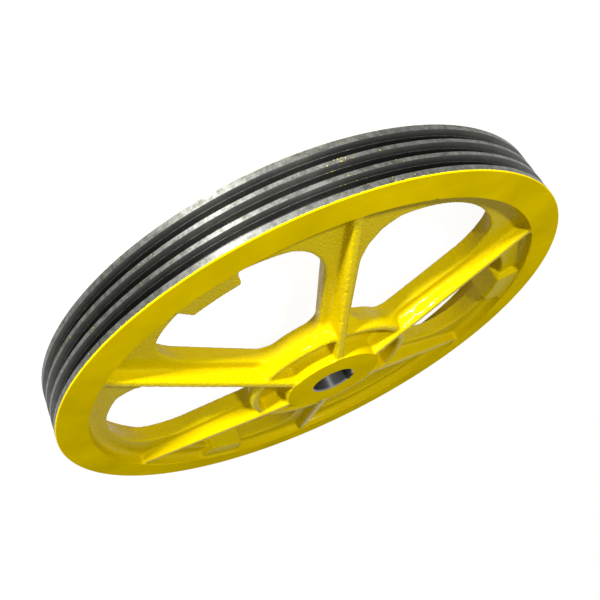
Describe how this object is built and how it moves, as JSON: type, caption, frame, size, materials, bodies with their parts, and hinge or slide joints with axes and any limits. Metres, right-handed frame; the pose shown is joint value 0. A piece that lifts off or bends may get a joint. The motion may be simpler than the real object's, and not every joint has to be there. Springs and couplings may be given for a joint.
{
  "type": "wire rope sheave",
  "caption": "Spoked cast-iron sheave with a grooved rim for parallel wire ropes, ribbed spokes, a collar ring, and a hub with a keyed bore; painted, with a bare turned rim and bore.",
  "frame": {"origin": "on the axis, in the plane of the rim's rear face, on which the sheave lies", "axes": "+Z along the axis, out of the front face where the ribs and the hub stand up; one spoke lies along +Y"},
  "size_m": [0.62, 0.62, 0.087],
  "materials": {
    "painted_casting": "yellow gloss paint over the sand-cast iron; rim outside, grooves and bore turned and left bare"
  },
  "bodies": {
    "root": {"sheave": "painted_casting"}
  },
  "joints": []
}
